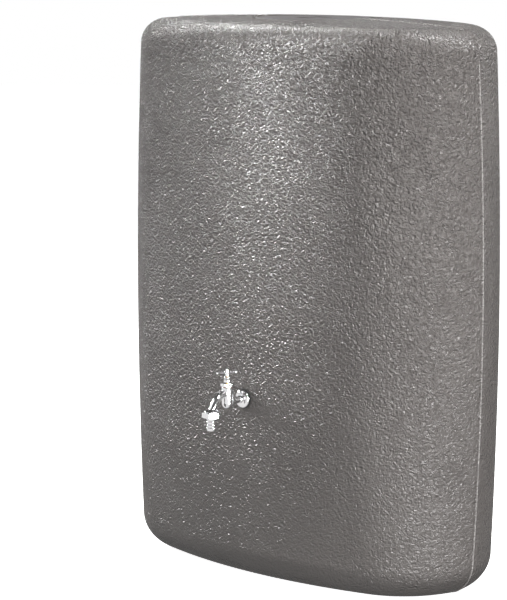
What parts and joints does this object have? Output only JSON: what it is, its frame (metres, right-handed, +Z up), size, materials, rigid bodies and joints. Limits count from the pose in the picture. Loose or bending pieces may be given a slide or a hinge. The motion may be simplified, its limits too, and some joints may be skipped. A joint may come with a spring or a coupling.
{
  "type": "rain barrel",
  "caption": "Slim upright rain barrel with a flush screw lid on top and a chromed garden tap with a hose tail low on the front face.",
  "frame": {"origin": "centre of the flat base, on the floor", "axes": "+Z up, +X to the right seen from the front, -Y towards the front, where the tap is"},
  "size_m": [0.845, 0.5204, 1.0485],
  "materials": {
    "tank_plastic": "satin polyethylene with a leather-like stone grain",
    "lid_plastic": "satin, finely grained",
    "rubber": "matt black",
    "brass": "machined",
    "chrome": "polished chrome plate on brass",
    "fibre": "pressed red fibre",
    "packing": "white PTFE"
  },
  "bodies": {
    "tank": {"tank_shell": "tank_plastic", "tap_insert": "brass", "tap_seal": "rubber", "tap_rosette": "chrome", "tap_body": "chrome", "bonnet": "chrome", "bonnet_gasket": "fibre", "packing_nut": "chrome", "gland_packing": "packing"},
    "lid_seal": {"lid_gasket": "rubber"},
    "lid": {"lid": "lid_plastic"},
    "valve": {"jumper": "brass", "valve_washer": "rubber", "washer_nut": "brass"},
    "handle": {"spindle": "brass", "tee_handle": "chrome", "handle_screw": "chrome"},
    "tail": {"hose_tail": "chrome", "hose_washer": "rubber"},
    "union_nut": {"union_nut": "chrome"}
  },
  "joints": [
    {"name": "lid_lift", "type": "slide", "parent": "tank", "child": "lid_seal", "axis": [0, 0, 1], "range_m": [0, 0.12]},
    {"name": "lid_turn", "type": "hinge", "parent": "lid_seal", "child": "lid", "pos_m": [0, 0, 1.04], "axis": [0, 0, 1], "range_deg": [0, 450]},
    {"name": "valve_rise", "type": "slide", "parent": "tank", "child": "valve", "axis": [0, 0, 1], "range_m": [0, 0.00451]},
    {"name": "handle_turn", "type": "hinge", "parent": "valve", "child": "handle", "pos_m": [0.0225, -0.25173, 0.4041], "axis": [0, 0, 1], "range_deg": [0, 810]},
    {"name": "tail_drop", "type": "slide", "parent": "tank", "child": "tail", "axis": [0, 0, -1], "range_m": [0, 0.00409]},
    {"name": "union_nut_turn", "type": "hinge", "parent": "tail", "child": "union_nut", "pos_m": [0.0225, -0.29218, 0.3302], "axis": [0, 0, -1], "range_deg": [0, 810]}
  ],
  "couplings": [
    {"joint": "valve_rise", "follows": "handle_turn", "m_per_rad": 0.00031831},
    {"joint": "tail_drop", "follows": "union_nut_turn", "m_per_rad": 0.00028871}
  ]
}
